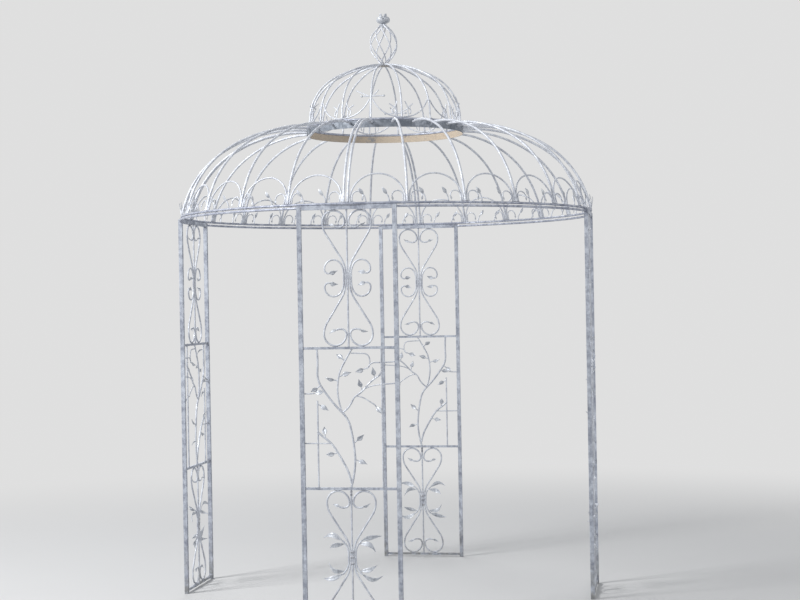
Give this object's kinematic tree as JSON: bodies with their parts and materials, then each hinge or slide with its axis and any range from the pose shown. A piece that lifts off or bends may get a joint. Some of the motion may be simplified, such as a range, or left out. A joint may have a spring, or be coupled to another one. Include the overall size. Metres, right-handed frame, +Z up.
{
  "type": "garden gazebo",
  "caption": "Round open wrought-iron garden gazebo: lattice panels with scrolls and a climbing branch carry a ribbed dome, a cupola and a twisted finial.",
  "frame": {"origin": "centre of the floor circle, on the level floor that the eight post feet stand on", "axes": "+Z up along the dome's axis; -Y, +X, +Y and -X point out through the four doorways, and the four lattice panels stand on the diagonals between them"},
  "size_m": [2.2146, 2.2146, 3.0881],
  "materials": {
    "galvanised": "satin",
    "rusted": "matt"
  },
  "bodies": {
    "root": {"front_left_posts": "galvanised", "front_left_rails": "galvanised", "front_left_scrolls": "galvanised", "front_left_vine": "galvanised", "front_left_leaves": "galvanised", "front_right_posts": "galvanised", "front_right_rails": "galvanised", "front_right_scrolls": "galvanised", "front_right_vine": "galvanised", "front_right_leaves": "galvanised", "rear_right_posts": "galvanised", "rear_right_rails": "galvanised", "rear_right_scrolls": "galvanised", "rear_right_vine": "galvanised", "rear_right_leaves": "galvanised", "rear_left_posts": "galvanised", "rear_left_rails": "galvanised", "rear_left_scrolls": "galvanised", "rear_left_vine": "galvanised", "rear_left_leaves": "galvanised", "front_dome_ribs": "galvanised", "front_base_ring": "galvanised", "front_tie_bar": "galvanised", "front_dome_arches": "galvanised", "front_ring_sprigs": "galvanised", "right_dome_ribs": "galvanised", "right_base_ring": "galvanised", "right_tie_bar": "galvanised", "right_dome_arches": "galvanised", "right_ring_sprigs": "galvanised", "rear_dome_ribs": "galvanised", "rear_base_ring": "galvanised", "rear_tie_bar": "galvanised", "rear_dome_arches": "galvanised", "rear_ring_sprigs": "galvanised", "left_dome_ribs": "galvanised", "left_base_ring": "galvanised", "left_tie_bar": "galvanised", "left_dome_arches": "galvanised", "left_ring_sprigs": "galvanised", "crown_band": "rusted", "cupola_ring": "galvanised", "cupola_ribs": "galvanised", "cupola_braces": "galvanised", "cupola_sprigs": "galvanised", "apex_hub": "rusted", "finial_cage": "galvanised", "finial_blossom": "galvanised"}
  },
  "joints": []
}
